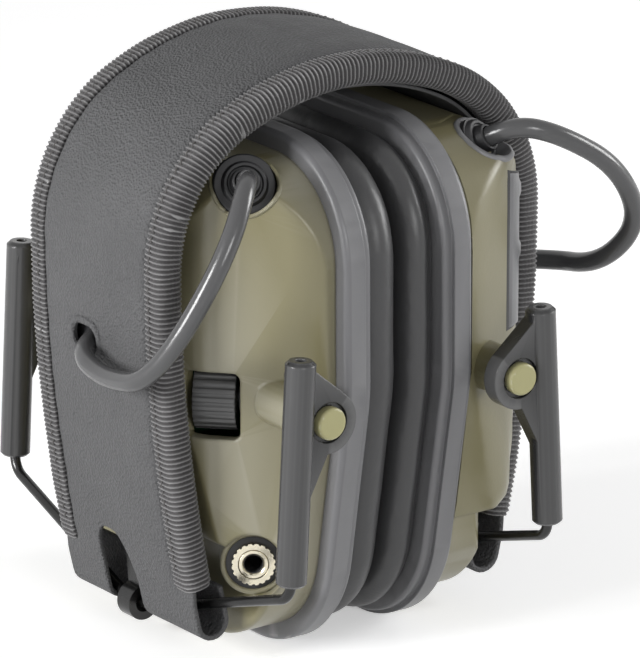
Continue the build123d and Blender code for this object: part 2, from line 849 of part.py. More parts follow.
# ---------------------------------------------------------------- cable leads from the cups to the headband
slit_x = arch_points(0, slit_z)[-1][0]
lead_end = (slit_x - skin - pocket + 0.9, 1.0, slit_z)


def beyond(distance):
    """Point straight out of the cable gland."""
    point = gland_point + gland_dir * distance
    return (point.X, point.Y, point.Z)


lead_routes = {
    "left": [
        beyond(0.05),
        beyond(8.5),
        (39.5, -39.5, 85.5),
        (50.0, -31.0, 61.8),
        (49.0, -14.0, 57.8),
        (47.5, -2.0, 60.3),
        lead_end,
    ],
    "right": [
        beyond(0.05),
        beyond(7.0),
        (45.0, -34.0, 95.5),
        (57.0, -35.5, 86.0),
        (57.0, -34.0, 68.5),
        (50.0, -26.5, 65.3),
        (47.0, -2.0, 62.3),
        lead_end,
    ],
}


def bend_radii(route):
    """Largest tangent arcs that fit the runs of a route, and the turn at each corner."""
    radii = []
    turns = []
    for a, b, c in zip(route, route[1:], route[2:]):
        into = Vector(*b) - Vector(*a)
        away = Vector(*c) - Vector(*b)
        turn = math.radians(into.get_angle(away))
        radii.append(0.45 * min(into.length, away.length) / math.tan(turn / 2))
        turns.append(math.degrees(turn))
    return radii, turns


for name, route in lead_routes.items():
    radii, turns = bend_radii(route)
    print(name, "lead bends", [(round(r, 1), round(t)) for r, t in zip(radii, turns)])
    with BuildPart() as lead:
        with BuildLine() as path:
            FilletPolyline(*route, radius=radii)
        with BuildSketch(Plane(path.wire() @ 0, z_dir=path.wire() % 0)):
            Circle(cable_dia / 2)
        sweep()
    print(name, "lead length", round(path.wire().length, 1))
    if name == "left":
        save_shape(mirror(lead.part, about=Plane.YZ), "left_lead")
    else:
        save(lead, "right_lead")
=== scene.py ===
import math
import bmesh
import bpy
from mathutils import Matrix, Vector, noise
from mathutils.bvhtree import BVHTree


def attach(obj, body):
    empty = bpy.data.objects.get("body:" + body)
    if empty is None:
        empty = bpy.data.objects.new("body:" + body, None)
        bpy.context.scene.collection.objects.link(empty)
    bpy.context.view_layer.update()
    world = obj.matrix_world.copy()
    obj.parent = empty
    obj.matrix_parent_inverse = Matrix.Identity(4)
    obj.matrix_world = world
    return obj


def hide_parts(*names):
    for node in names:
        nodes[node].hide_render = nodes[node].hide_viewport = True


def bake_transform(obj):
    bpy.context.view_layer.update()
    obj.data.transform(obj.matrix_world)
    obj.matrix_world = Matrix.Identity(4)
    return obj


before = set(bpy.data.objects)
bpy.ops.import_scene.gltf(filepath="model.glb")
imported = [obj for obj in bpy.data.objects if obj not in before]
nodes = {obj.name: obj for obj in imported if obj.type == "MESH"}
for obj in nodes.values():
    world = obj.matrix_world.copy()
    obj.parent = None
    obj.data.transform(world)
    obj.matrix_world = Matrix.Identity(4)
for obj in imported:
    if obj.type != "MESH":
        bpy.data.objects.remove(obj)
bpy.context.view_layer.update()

# Folding hearing protector, in the frame's own axes: X runs from ear to ear, Y across the
# headband, Z up from the floor. Sizes and points are in mm, and become metres by the factor mm.
mm = 0.001
SIDES = ("left", "right")


def hand(side):
    """-1 for the left side, 1 for the right one."""
    return -1 if side == "left" else 1


# ---------------------------------------- sizes shared with the part, in mm
band_top = 113.0
band_half_span = 43.5
band_end_z = 8.7
band_end_half = 35.3
crown_radius = 58.0
crown_half = 26.0
band_width = 43.0
band_shift = -3.0
edge_wide = 4.4
skin = 1.0
sheet_gap = 0.1
band_thick = 6.2
arch_half = 5.7
arch_top = 23.0
arch_square = 2.9
fold_z = 7.2
pad_end_z = 23.5
slit_z = 61.5
slit_half = 4.0
slit_round = 2.7
cable_dia = 3.8
# circles (y, z, radius) whose hull is a cup's outline, each with its mirror image
cup_discs = [(k * y, z, r)
             for y, z, r in ((20.2, 78.8, 22.0), (2.4, 57.0, 40.0), (13.0, 24.0, 24.0))
             for k in (1, -1)]
cushion_inset = 3.0
foam_inset = 14.5
foam_x = 10.4
foam_thick = 4.2
speaker_z = 53.2
speaker_dia = 28.0
gland_at = {"left": (26.0, -26.6, 94.8), "right": (27.6, -28.8, 94.6)}
gland_dir = Vector((0.40, -0.76, 0.51)).normalized()
gland_half = {"left": 5.9, "right": 4.7}
gland_low = -3.4
gland_clear = 7.6
gland_lip_radius, gland_lip_thick, gland_lip_flat = 6.25, 0.42, 0.8
jack_at = Vector((-25.0, -27.2, 21.0))
jack_turn = math.radians(56.0)

corner_slope = math.asin(crown_half / crown_radius)
corner_radius = (band_half_span - crown_half) / (1 - math.sin(corner_slope))
corner_x = band_half_span - corner_radius
crown_z = band_top - crown_radius
corner_z = crown_z + (crown_radius - corner_radius) * math.cos(corner_slope)
side_drop = corner_z - band_end_z
side_in = band_half_span - band_end_half
side_radius = (side_drop**2 + side_in**2) / (2 * side_in)
side_x = band_half_span - side_radius
crown_run = crown_radius * corner_slope
corner_run = corner_radius * (math.pi / 2 - corner_slope)
side_run = side_radius * math.asin(side_drop / side_radius)
outer_run = crown_run + corner_run + side_run
loop_depth = band_thick + sheet_gap + skin
loop_radius = loop_depth / 2
loop_run = math.pi * loop_radius
half_wide = band_width / 2
core_half = half_wide - edge_wide


# ---------------------------------------- materials
# Paler edges are a painted highlight: pointiness picks the edges and rib crests that get it.
highlight_from, highlight_to = 0.52, 0.62  # pointiness at which an edge starts to pale and is palest
highlight_pale = 0.35


def material(name, colour, rough, metallic=0.0, grain=(), vary=0.12, vary_scale=90.0,
             rough_vary=0.06, edge=0.0, soft_edge=0.0, **shader):
    """Procedural finish: colour and roughness drift, stacked bumps, and edges made paler as a
    painted highlight.
    """
    made = bpy.data.materials.new(name)
    made.use_nodes = True
    tree = made.node_tree
    new, link = tree.nodes.new, tree.links.new
    bsdf = tree.nodes["Principled BSDF"]
    bsdf.inputs["Metallic"].default_value = metallic
    for key, value in shader.items():
        bsdf.inputs[key.replace("_", " ")].default_value = value
    place = new("ShaderNodeTexCoord").outputs["Object"]

    drift = new("ShaderNodeTexNoise")
    drift.inputs["Scale"].default_value = vary_scale
    drift.inputs["Detail"].default_value = 5.0
    link(place, drift.inputs["Vector"])
    tone = new("ShaderNodeMix")
    tone.data_type = "RGBA"
    low = [c * (1 - vary) for c in colour]
    high = [min(c * (1 + vary), 1.0) for c in colour]
    tone.inputs["A"].default_value = (*low, 1)
    tone.inputs["B"].default_value = (*high, 1)
    link(drift.outputs["Fac"], tone.inputs["Factor"])
    shade = tone.outputs["Result"]
    # painted highlight: edges are mixed towards a paler colour
    if edge:
        edge_geometry = new("ShaderNodeNewGeometry")
        sharp = new("ShaderNodeMapRange")
        sharp.inputs["From Min"].default_value = highlight_from
        sharp.inputs["From Max"].default_value = highlight_to
        sharp.inputs["To Max"].default_value = edge
        link(edge_geometry.outputs["Pointiness"], sharp.inputs["Value"])
        pale = new("ShaderNodeMix")
        pale.data_type = "RGBA"
        pale.inputs["B"].default_value = (*[c + (1 - c) * highlight_pale for c in colour], 1)
        link(sharp.outputs["Result"], pale.inputs["Factor"])
        link(shade, pale.inputs["A"])
        shade = pale.outputs["Result"]
    link(shade, bsdf.inputs["Base Color"])

    spread = new("ShaderNodeTexNoise")
    spread.inputs["Scale"].default_value = vary_scale * 3
    link(place, spread.inputs["Vector"])
    rough_map = new("ShaderNodeMapRange")
    rough_map.inputs["To Min"].default_value = rough - rough_vary
    rough_map.inputs["To Max"].default_value = rough + rough_vary
    link(spread.outputs["Fac"], rough_map.inputs["Value"])
    link(rough_map.outputs["Result"], bsdf.inputs["Roughness"])

    normal = None
    if soft_edge:
        bevel = new("ShaderNodeBevel")
        bevel.samples = 6
        bevel.inputs["Radius"].default_value = soft_edge * mm
        normal = bevel.outputs["Normal"]
    for kind, scale, depth in grain:
        if kind == "pebble":
            cell = new("ShaderNodeTexVoronoi")
            cell.feature = "SMOOTH_F1"
            cell.inputs["Smoothness"].default_value = 0.6
            height = cell.outputs["Distance"]
        elif kind == "weave":
            cell = new("ShaderNodeTexMagic")
            cell.turbulence_depth = 1
            height = cell.outputs["Fac"]
        else:
            cell = new("ShaderNodeTexNoise")
            cell.inputs["Detail"].default_value = 4.0
            height = cell.outputs["Fac"]
        cell.inputs["Scale"].default_value = scale
        link(place, cell.inputs["Vector"])
        bump = new("ShaderNodeBump")
        bump.inputs["Distance"].default_value = depth * mm
        bump.inputs["Strength"].default_value = 1.0
        link(height, bump.inputs["Height"])
        if normal:
            link(normal, bump.inputs["Normal"])
        normal = bump.outputs["Normal"]
    if normal:
        link(normal, bsdf.inputs["Normal"])
    return made


def srgb(level):
    """Linear value of a display level from 0 to 255."""
    value = level / 255
    return value / 12.92 if value <= 0.04045 else ((value + 0.055) / 1.055) ** 2.4


def colour(r, g, b):
    """Linear colour of three display levels."""
    return [srgb(r), srgb(g), srgb(b)]


def grey(level):
    """Linear grey of a display level."""
    return colour(level, level, level)


look = {
    "leatherette": material("leatherette", colour(84, 84, 85), 0.52, vary=0.14, vary_scale=70,
                            rough_vary=0.08, grain=(("pebble", 2000, 0.34), ("noise", 1500, 0.14),
                                                    ("noise", 260, 0.12)),
                            Specular_IOR_Level=0.08),
    # edge paints a highlight on the rib crests of the binding tape
    "binding_tape": material("binding_tape", colour(47, 45, 46), 0.7, vary=0.3, vary_scale=900,
                             edge=0.65, grain=(("weave", 1500, 0.1), ("noise", 2600, 0.08)),
                             Sheen_Weight=0.25, Sheen_Roughness=0.4),
    "thread": material("thread", colour(70, 68, 67), 0.6, vary=0.2, vary_scale=1500,
                       grain=(("noise", 3000, 0.08),)),
    "padding": material("padding", colour(36, 36, 38), 0.9, vary=0.25, vary_scale=700,
                        grain=(("pebble", 900, 0.5),), Specular_IOR_Level=0.2),
    "lining": material("lining", colour(84, 84, 85), 0.85, vary=0.2, vary_scale=500,
                       grain=(("weave", 1300, 0.12), ("noise", 300, 0.25)),
                       Specular_IOR_Level=0.2),
    "cushion_skin": material("cushion_skin", colour(54, 54, 55), 0.4, vary=0.1, vary_scale=50,
                             grain=(("noise", 800, 0.05), ("noise", 120, 0.4))),
    "olive_shell": material("olive_shell", colour(114, 109, 82), 0.3, vary=0.05, vary_scale=40,
                            rough_vary=0.04, edge=0.3, soft_edge=1.1,
                            grain=(("noise", 1800, 0.02), ("noise", 60, 0.15))),
    "olive_stud": material("olive_stud", colour(152, 148, 106), 0.33, vary=0.05, vary_scale=80,
                           edge=0.3, soft_edge=0.35, grain=(("noise", 1800, 0.02),)),
    "grey_plastic": material("grey_plastic", colour(98, 98, 100), 0.36, vary=0.06, vary_scale=50,
                             edge=0.4, soft_edge=0.4, grain=(("noise", 1500, 0.03),)),
    "black_plastic": material("black_plastic", colour(33, 33, 34), 0.24, vary=0.06, vary_scale=70,
                              edge=0.2, soft_edge=0.35,
                              grain=(("noise", 1400, 0.008),)),
    "spring_steel": material("spring_steel", grey(150), 0.32, 1.0, vary=0.1, vary_scale=200,
                             soft_edge=0.1, grain=(("noise", 900, 0.02),)),
    "yoke_steel": material("yoke_steel", grey(60), 0.24, 0.85, vary=0.2, vary_scale=150,
                           rough_vary=0.08, grain=(("noise", 500, 0.02),)),
    "bright_metal": material("bright_metal", colour(215, 208, 188), 0.24, 1.0, vary=0.12,
                             vary_scale=300, soft_edge=0.12, grain=(("noise", 900, 0.03),)),
    "cable_jacket": material("cable_jacket", colour(68, 68, 69), 0.22, vary=0.1, vary_scale=120,
                             grain=(("noise", 1200, 0.02), ("noise", 160, 0.1))),
    "rubber": material("rubber", colour(26, 26, 28), 0.5, vary=0.1, vary_scale=200,
                       soft_edge=0.2, grain=(("noise", 1200, 0.04),)),
    "board": material("board", colour(30, 92, 52), 0.45, vary=0.2, vary_scale=300,
                      soft_edge=0.15, grain=(("weave", 700, 0.05),)),
    "cell_wrap": material("cell_wrap", colour(120, 122, 126), 0.35, 0.6, vary=0.1,
                          vary_scale=150, soft_edge=0.2, grain=(("noise", 700, 0.02),)),
}


def paint(node, finish):
    """Gives a CAD node its finish through its object's own slots."""
    for place in nodes[node].material_slots:
        place.link = "OBJECT"
        place.material = look[finish]


# ---------------------------------------- mesh helpers
weld = 0.01


def ramp(value, low, high):
    """0 at low and under, 1 at high and over, straight between."""
    return min(max((value - low) / (high - low), 0), 1)


def circle(count):
    """Cosine and sine at even steps of a full turn."""
    turns = [2 * math.pi * i / count for i in range(count)]
    return [(math.cos(turn), math.sin(turn)) for turn in turns]


def square_to(axis):
    """Axis as a unit vector, and two more at right angles to it."""
    up = axis.normalized()
    across = up.orthogonal().normalized()
    return up, across, up.cross(across)


def show(name, data):
    """New object in the scene."""
    made = bpy.data.objects.new(name, data)
    bpy.context.scene.collection.objects.link(made)
    return made


def piece(name, verts, faces, finish, slot, body=None, smooth=42.0):
    """Mesh object from points in mm, finished and smoothed, riding on a body if one is given."""
    mesh = bpy.data.meshes.new(name)
    mesh.from_pydata([[c * mm for c in v] for v in verts], [], faces)
    mesh.validate()
    work = bmesh.new()
    work.from_mesh(mesh)
    bmesh.ops.remove_doubles(work, verts=work.verts, dist=weld * mm)
    bmesh.ops.recalc_face_normals(work, faces=work.faces)
    work.to_mesh(mesh)
    work.free()
    mesh.shade_smooth()
    mesh.set_sharp_from_angle(angle=math.radians(smooth))
    mesh.materials.append(look[finish])
    made = show(name, mesh)
    if body:
        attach(made, body)
    return made


def apply_modifiers(made, smooth=42.0):
    """Bakes the object's modifiers into its mesh."""
    graph = bpy.context.evaluated_depsgraph_get()
    mesh = bpy.data.meshes.new_from_object(made.evaluated_get(graph))
    made.modifiers.clear()
    made.data = mesh
    mesh.shade_smooth()
    mesh.set_sharp_from_angle(angle=math.radians(smooth))
    return made


def skin_rings(rings, close_ring=True, close_run=False, caps=True):
    """One vertex list and one face list that join rings of points, each to the next."""
    verts = [p for ring in rings for p in ring]
    count = len(rings[0])
    faces = []
    runs = len(rings) if close_run else len(rings) - 1
    steps = count if close_ring else count - 1
    for i in range(runs):
        a, b = i * count, ((i + 1) % len(rings)) * count
        for j in range(steps):
            k = (j + 1) % count
            faces.append((a + j, a + k, b + k, b + j))
    if caps and close_ring and not close_run:
        faces.append(tuple(reversed(range(count))))
        faces.append(tuple((len(rings) - 1) * count + j for j in range(count)))
    return verts, faces


def merge(parts):
    """Joins several vertex and face lists into one."""
    verts, faces = [], []
    for more_verts, more_faces in parts:
        start = len(verts)
        verts += more_verts
        faces += [tuple(i + start for i in face) for face in more_faces]
    return verts, faces


def turned(profile, origin, axis, count=40):
    """Lathe: a closed profile of (radius, height) points turned about an axis."""
    up, across, along = square_to(axis)
    rings = []
    for a, b in circle(count):
        out = across * a + along * b
        rings.append([origin + out * r + up * h for r, h in profile])
    return skin_rings(rings, close_run=True)


# ---------------------------------------- headband geometry
def band_frame(run):
    """(x, z) on the band's outer face and its outward normal, at a run from the crown."""
    if run < crown_run:
        turn, mid, radius = run / crown_radius, (0.0, crown_z), crown_radius
    elif run < crown_run + corner_run:
        turn = corner_slope + (run - crown_run) / corner_radius
        mid, radius = (corner_x, corner_z), corner_radius
    else:
        turn = math.pi / 2 + (run - crown_run - corner_run) / side_radius
        mid, radius = (side_x, corner_z), side_radius
    out = (math.sin(turn), math.cos(turn))
    return (mid[0] + radius * out[0], mid[1] + radius * out[1]), out


def cover_frame(run):
    """As band_frame, and on round the folded end of the cover and up its inside."""
    if run <= outer_run:
        return band_frame(run)
    spot, out = band_frame(outer_run)
    if run <= outer_run + loop_run:
        turn = (run - outer_run) / loop_radius
        mid = (spot[0] - loop_radius * out[0], spot[1] - loop_radius * out[1])
        down = (out[1], -out[0])
        lean = tuple(out[i] * math.cos(turn) + down[i] * math.sin(turn) for i in (0, 1))
        return (mid[0] + loop_radius * lean[0], mid[1] + loop_radius * lean[1]), lean
    spot, out = band_frame(2 * outer_run + loop_run - run)
    return (spot[0] - loop_depth * out[0], spot[1] - loop_depth * out[1]), (-out[0], -out[1])


def run_at(z):
    """Run from the crown at which the band's outer face comes down to a height."""
    return crown_run + corner_run + side_radius * math.asin((corner_z - z) / side_radius)


def on_band(side, run, v, depth, where=band_frame):
    """Point at a run along the band, v across it from its middle, depth under its outer face."""
    spot, out = where(run)
    return (hand(side) * (spot[0] - depth * out[0]), v + band_shift, spot[1] - depth * out[1])


def bend(made):
    """Bakes the object's placement into its mesh."""
    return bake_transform(made)


# ---------------------------------------- headband pieces
grid_step = 1.0
inner_top = run_at(15.0)
crown_lap = 0.5
cover_run = 2 * outer_run + loop_run - inner_top
bind_end = run_at(16.5)
flap_half = half_wide - 0.7
free_from, free_to = bind_end - 5.0, bind_end + 3.0  # where the cover leaves its bindings
pucker_pitch = 6.5


def wrinkle(side, run, v, size, seed):
    """Smooth noise over the band that carries on across its crown."""
    return noise.noise(Vector((hand(side) * run / size, v / size, seed)))


puff_high, pull_deep, pucker_high = 0.8, 1.15, 0.06
pull_from, pucker_from, pucker_to = 0.93, 0.6, 0.95  # shares of the way out to the binding
wave_big, wave_small = 0.32, 0.12
lap_deep = 0.12


def cover_depth(side, run, v):
    """How deep the leather lies: puffed in its middle, pulled down along its bindings."""
    reach = abs(v) / core_half
    bound = 1 - ramp(run, free_from, free_to)
    puff = puff_high * (1 - min(reach, 1) ** 6) * bound
    pull = pull_deep * ramp(reach, pull_from, 1.0) * bound
    pucker = pucker_high * ramp(reach, pucker_from, pucker_to) * bound * math.cos(
        run * 2 * math.pi / pucker_pitch + 2 * wrinkle(side, run, v, 20, 3))
    under = lap_deep * max(-run, 0) / crown_lap
    waves = wave_big * wrinkle(side, run, v, 22, 1) + wave_small * wrinkle(side, run, v, 8, 5)
    return pull - puff + pucker + under - waves * (0.35 + 0.65 * bound)


def arch_reach(v, z):
    """Size of a point against the arch cut in the band's end: under 1 is inside the cut."""
    if z <= fold_z:
        return abs(v) / arch_half
    return ((abs(v) / arch_half) ** arch_square
            + ((z - fold_z) / (arch_top - fold_z)) ** arch_square) ** (1 / arch_square)


def slit_reach(v, z):
    """Size of a point against the cable slit."""
    side_way = max(abs(v) - (slit_half - slit_round), 0)
    return math.hypot(side_way, z - slit_z) / slit_round


slit_near = 8   # how far from the slit's height its outline counts
arch_near = 4   # how far over the arch's top its outline counts
well_clear = 9  # reach of a point that no hole comes near
snap_most = 1.4
slope_step, slope_least = 0.5, 0.3
edge_round = 0.3


def band_cover(side):
    """The leather cover: one sheet, outside, round the wire and up inside, with its holes."""
    rows = round(cover_run / grid_step)
    columns = round(2 * flap_half / grid_step)
    spots = []
    for i in range(rows + 1):
        run = -crown_lap + (cover_run + crown_lap) * i / rows
        for j in range(columns + 1):
            spots.append([run, -flap_half + 2 * flap_half * j / columns])

    def height(run):
        return cover_frame(run)[0][1]

    def reach(spot):
        v, z = spot[1] + band_shift, height(spot[0])
        near = well_clear
        if z < arch_top + arch_near and spot[0] > crown_run + corner_run:
            near = arch_reach(v, z)
        if spot[0] < outer_run and abs(z - slit_z) < slit_near:
            near = min(near, slit_reach(v, z))
        return near

    gone = [reach(s) < 1 for s in spots]
    faces, rim = [], set()
    for i in range(rows):
        for j in range(columns):
            a = i * (columns + 1) + j
            quad = (a, a + 1, a + columns + 2, a + columns + 1)
            if any(gone[q] for q in quad):
                rim.update(q for q in quad if not gone[q])
            else:
                faces.append(quad)
    kept = {i for face in faces for i in face}
    for i in rim & kept:
        # moves a point beside a hole onto the hole's outline
        spot = spots[i]
        v, z = spot[1] + band_shift, height(spot[0])
        if abs(z - slit_z) < slit_near:
            straight = slit_half - slit_round
            core = min(max(v, -straight), straight)
            size = math.hypot(v - core, z - slit_z)
            new_v = core + (v - core) * slit_round / size
            new_z = slit_z + (z - slit_z) * slit_round / size
        elif z <= fold_z:
            new_v, new_z = math.copysign(arch_half, v), z
        else:
            size = min(arch_reach(v, z), snap_most)
            new_v, new_z = v / size, fold_z + (z - fold_z) / size
        slope = height(spot[0] + slope_step) - height(spot[0] - slope_step)
        if abs(slope) > slope_least:
            spot[0] += (new_z - z) / slope
        spot[1] = new_v - band_shift
    order = {old: new for new, old in enumerate(sorted(kept))}
    verts = [on_band(side, *spots[i], cover_depth(side, *spots[i]), cover_frame)
             for i in sorted(kept)]
    made = piece("band_cover_" + side, verts, [tuple(order[i] for i in f) for f in faces],
                 "leatherette", "leatherette")
    thick = made.modifiers.new("thick", "SOLIDIFY")
    thick.thickness = skin * mm
    middle = made.data.polygons[len(made.data.polygons) // 8]
    outward = Vector((hand(side), 0, 0.6))
    thick.offset = -1 if middle.normal.dot(outward) > 0 else 1
    thick.use_even_offset = True
    round_edge = made.modifiers.new("edge", "BEVEL")
    round_edge.width = edge_round * mm
    round_edge.segments = 2
    round_edge.limit_method = "ANGLE"
    round_edge.angle_limit = math.radians(50)
    apply_modifiers(made, 60)
    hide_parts("headband_cover")
    return bend(made)


rib_pitch = 0.95
rib_high = 0.42
rib_steps = 5
rib_sharp = 1.3
rib_uneven = 0.12
bind_in, bind_out = core_half - 0.3, half_wide + 0.1
bind_depths = (-0.35, 4.9)
bind_middle = 2.3
bind_round, bind_corner = 1.9, 0.5
tail_run, tail_taper = 1.2, 0.12
stitch_pitch, stitch_long, stitch_thick = 1.9, 1.35, 0.17
stitch_first, stitch_last = 1.2, bind_end - 3
stitch_in, stitch_slant = core_half + 1.0, 0.25
stitch_high, stitch_arc = 0.42, 0.28


def rounded(v0, v1, d0, d1, outer, inner, count=4):
    """Closed section in (v, depth) from v0 to v1, rounder on the v1 side."""
    points = []
    way = 1 if v1 > v0 else -1
    for mid_v, mid_d, r, first in ((v1 - way * outer, d0 + outer, outer, -90),
                                   (v1 - way * outer, d1 - outer, outer, 0),
                                   (v0 + way * inner, d1 - inner, inner, 90),
                                   (v0 + way * inner, d0 + inner, inner, 180)):
        for i in range(count + 1):
            turn = math.radians(first + 90 * i / count)
            points.append((mid_v + way * r * math.cos(turn), mid_d + r * math.sin(turn)))
    return points


def binding(side, edge, way):
    """Ribbed tape folded over one long edge of the band."""
    v0, v1 = way * bind_in, way * bind_out
    section = rounded(v0, v1, *bind_depths, bind_round, bind_corner)
    middle_v, middle_d = (v0 + v1) / 2, bind_middle
    rings = []
    count = round(bind_end / (rib_pitch / rib_steps))
    for i in range(count + 1):
        run = bind_end * i / count
        rib = (0.5 + 0.5 * math.cos(2 * math.pi * run / rib_pitch)) ** rib_sharp
        lift = rib_high * rib + rib_uneven * wrinkle(side, run, v0, 9, 11)
        taper = 1 - tail_taper * ramp(run, bind_end - tail_run, bind_end) ** 2
        ring = []
        for v, depth in section:
            way_v, way_d = v - middle_v, depth - middle_d
            size = math.hypot(way_v, way_d)
            scale = (size + lift) / size * taper
            ring.append(on_band(side, run, middle_v + way_v * scale, middle_d + way_d * scale))
        rings.append(ring)
    made = piece(edge + "_binding_" + side, *skin_rings(rings), "binding_tape", "binding_tape",
                 smooth=80)
    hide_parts(edge + "_binding")
    return bend(made)


def stitches(side, edge, way):
    """Row of thread stitches beside the binding's inner edge."""
    parts = []
    for i in range(int(stitch_last / stitch_pitch)):
        start = stitch_first + i * stitch_pitch
        rings = []
        for t in (0, 0.25, 0.5, 0.75, 1):
            arc = math.sin(math.pi * t)
            fat = stitch_thick * (0.45 + 0.55 * arc)
            v = way * (stitch_in + stitch_slant * t)
            rings.append([on_band(side, start + stitch_long * t, v + fat * a,
                                  fat * b - stitch_high - stitch_arc * arc)
                          for a, b in circle(6)])
        parts.append(skin_rings(rings))
    made = piece(edge + "_stitches_" + side, *merge(parts), "thread", "binding_tape")
    return bend(made)


layer_step = 1.5
pad_depths, pad_round = (1.6, 4.9), 1.0
spring_depths, spring_round = (4.92, 5.66), 0.2
lining_depths, lining_round, lining_swell = (5.7, 6.3), 0.25, 0.25
spring_half = 7.5
pad_inset = 0.2
hidden_cable_deep = skin + 1.95
hidden_cable_low = slit_z + 3.3


def layer(side, name, node, finish, slot, v0, v1, d0, d1, edge, end, swell=0.0):
    """One inner layer of the band, from the crown to its end."""
    rings = []
    count = round(end / layer_step)
    for i in range(count + 1):
        run = end * i / count
        wave = swell * (0.5 + 0.5 * wrinkle(side, run, 0, 12, 17))
        rings.append([on_band(side, run, v, d + (wave if d > (d0 + d1) / 2 else 0))
                      for v, d in rounded(v0, v1, d0, d1, edge, edge)])
    made = piece(name + "_" + side, *skin_rings(rings), finish, slot)
    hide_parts(node)
    return bend(made)


def hidden_cable(side):
    """The cable inside the band that joins the two cups."""
    radius, steps = cable_dia / 2, 80
    end = run_at(hidden_cable_low)
    rings = [[on_band(side, end * i / steps, -band_shift + radius * a,
                      hidden_cable_deep + radius * b) for a, b in circle(16)]
             for i in range(steps + 1)]
    made = piece("band_cable_" + side, *skin_rings(rings), "cable_jacket", "cable_jacket")
    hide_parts("band_cable")
    return bend(made)


lip_out, lip_wide, lip_base, lip_high = 0.55, 0.75, -0.7, 0.6


def slit_lip(side):
    """Raised leather lip round the cable slit."""
    run = run_at(slit_z)
    rings = []
    for out_v, out_z in circle(48):
        mid_v = math.copysign(slit_half - slit_round, out_v) + slit_round * out_v
        ring = []
        for a, b in circle(10):
            far = lip_out + lip_wide * a
            ring.append(on_band(side, run - (slit_round + far) * out_z,
                                mid_v + far * out_v - band_shift, lip_base - lip_high * b))
        rings.append(ring)
    return piece("slit_lip_" + side, *skin_rings(rings, close_run=True), "leatherette",
                 "leatherette", side + "_end")


pad_end = run_at(pad_end_z)
for side in SIDES:
    band_cover(side)
    for edge, way in (("front", -1), ("rear", 1)):
        binding(side, edge, way)
        stitches(side, edge, way)
    layer(side, "band_pad", "headband_pad", "padding", "padding",
                    -core_half + pad_inset, core_half - pad_inset, *pad_depths, pad_round,
                    pad_end)
    layer(side, "band_spring", "headband_spring", "spring_steel", "spring_steel",
          -spring_half - band_shift, spring_half - band_shift, *spring_depths, spring_round,
          pad_end)
    layer(side, "band_lining", "headband_lining", "lining", "binding_tape",
                    -core_half, core_half, *lining_depths, lining_round, pad_end,
                    swell=lining_swell)
    hidden_cable(side)
    slit_lip(side)


# ---------------------------------------- cable leads
def beyond(side, distance):
    """Point straight out of a cable gland, with x counted outward."""
    return [gland_at[side][i] + distance * gland_dir[i] for i in range(3)]


lead_deep = 3.2  # how far inside the cover a lead ends
lead_end = (band_half_span - skin - lead_deep, 1.0, slit_z)
# each lead's length in metres and its route from the gland, with x counted outward
leads = {
    "left": (0.0882, [beyond("left", 0.05), beyond("left", 8.5), (39.5, -39.5, 85.5),
                      (50.0, -31.0, 61.8), (49.0, -14.0, 57.8), (47.5, -2.0, 60.3), lead_end]),
    "right": (0.0964, [beyond("right", 0.05), beyond("right", 6.5), (38.2, -37.5, 95.6),
                       (51.4, -38.5, 87.3), (59.6, -35.5, 74.1), (56.1, -27.5, 64.1),
                       (55.7, -11.0, 61.5), lead_end]),
}
for side in SIDES:
    length, route = leads[side]
    points = [Vector((hand(side) * x, y, z)) * mm for x, y, z in route]
    curve = bpy.data.curves.new(side + "_cable", "CURVE")
    curve.dimensions = "3D"
    spline = curve.splines.new("NURBS")
    spline.points.add(len(points) - 1)
    for spot, point in zip(spline.points, points):
        spot.co = (*point, 1)
    spline.order_u = 3
    spline.use_endpoint_u = True
    spline.resolution_u = 24
    curve.bevel_depth = cable_dia / 2 * mm
    curve.bevel_resolution = 7
    curve.use_fill_caps = True
    curve.materials.append(look["cable_jacket"])
    cable = show(side + "_cable", curve)
    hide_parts(side + "_lead")
    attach(cable, side + "_end")


# ---------------------------------------- cups
def outline(inset, count):
    """Points (y, z) evenly round the cup's outline, drawn in by inset."""
    rough = []
    for a, b in circle(1440):
        y, z, r = max(cup_discs, key=lambda d: d[0] * a + d[1] * b + d[2])
        rough.append((y + (r - inset) * a, z + (r - inset) * b))
    lengths = [0.0]
    for p, q in zip(rough, rough[1:] + rough[:1]):
        lengths.append(lengths[-1] + math.dist(p, q))
    even, at = [], 0
    for i in range(count):
        want = lengths[-1] * i / count
        while lengths[at + 1] < want:
            at += 1
        t = (want - lengths[at]) / max(lengths[at + 1] - lengths[at], 1e-9)
        p, q = rough[at], rough[(at + 1) % len(rough)]
        even.append((p[0] + (q[0] - p[0]) * t, p[1] + (q[1] - p[1]) * t))
    return even


# the dome of a cup: depth under the band, inset from the outline, and its slanted faces
dome_depth = 7.6
dome_inset = 3.4
dome_low_x = 16.6
dome_half = 39.3
dome_step = 2.9
dome_far_x = band_half_span - dome_depth + 0.2
skirt_x = 25.1
skirt_top = 25.0
facet_flat = 14.0
facet_far = 22.0
battery_bulk = 9.0
door_low = 58.0
door_high = 90.5
door_half = 33.0
rib_spots = (72.0, 84.0)
dome_soft = 1.1
rim_round = 1.8
rim_over = 0.3
cup_sides = [(a, b, max(y * a + z * b + r for y, z, r in cup_discs)) for a, b in circle(120)]


def edge_distance(y, z):
    """How far a point (y, z) lies inside the cup shell's outline."""
    return min(support - y * a - z * b for a, b, support in cup_sides) - dome_inset


def under_band(z):
    """Outer x of the cup where the band passes over it, at a height."""
    if z < skirt_top:
        reach_x = side_x + math.sqrt((side_radius - dome_depth)**2 - (skirt_top - corner_z)**2)
        return reach_x + (skirt_x - reach_x) * ramp(skirt_top - z, 0, 3.0)
    mid_x, radius = side_x, side_radius
    if z > corner_z:
        mid_x, radius = corner_x, corner_radius
        if z - corner_z > (corner_radius - dome_depth) * math.cos(corner_slope):
            return math.sqrt(max((crown_radius - dome_depth)**2 - (z - crown_z)**2, 0))
    return mid_x + math.sqrt(max((radius - dome_depth)**2 - (z - corner_z)**2, 0))


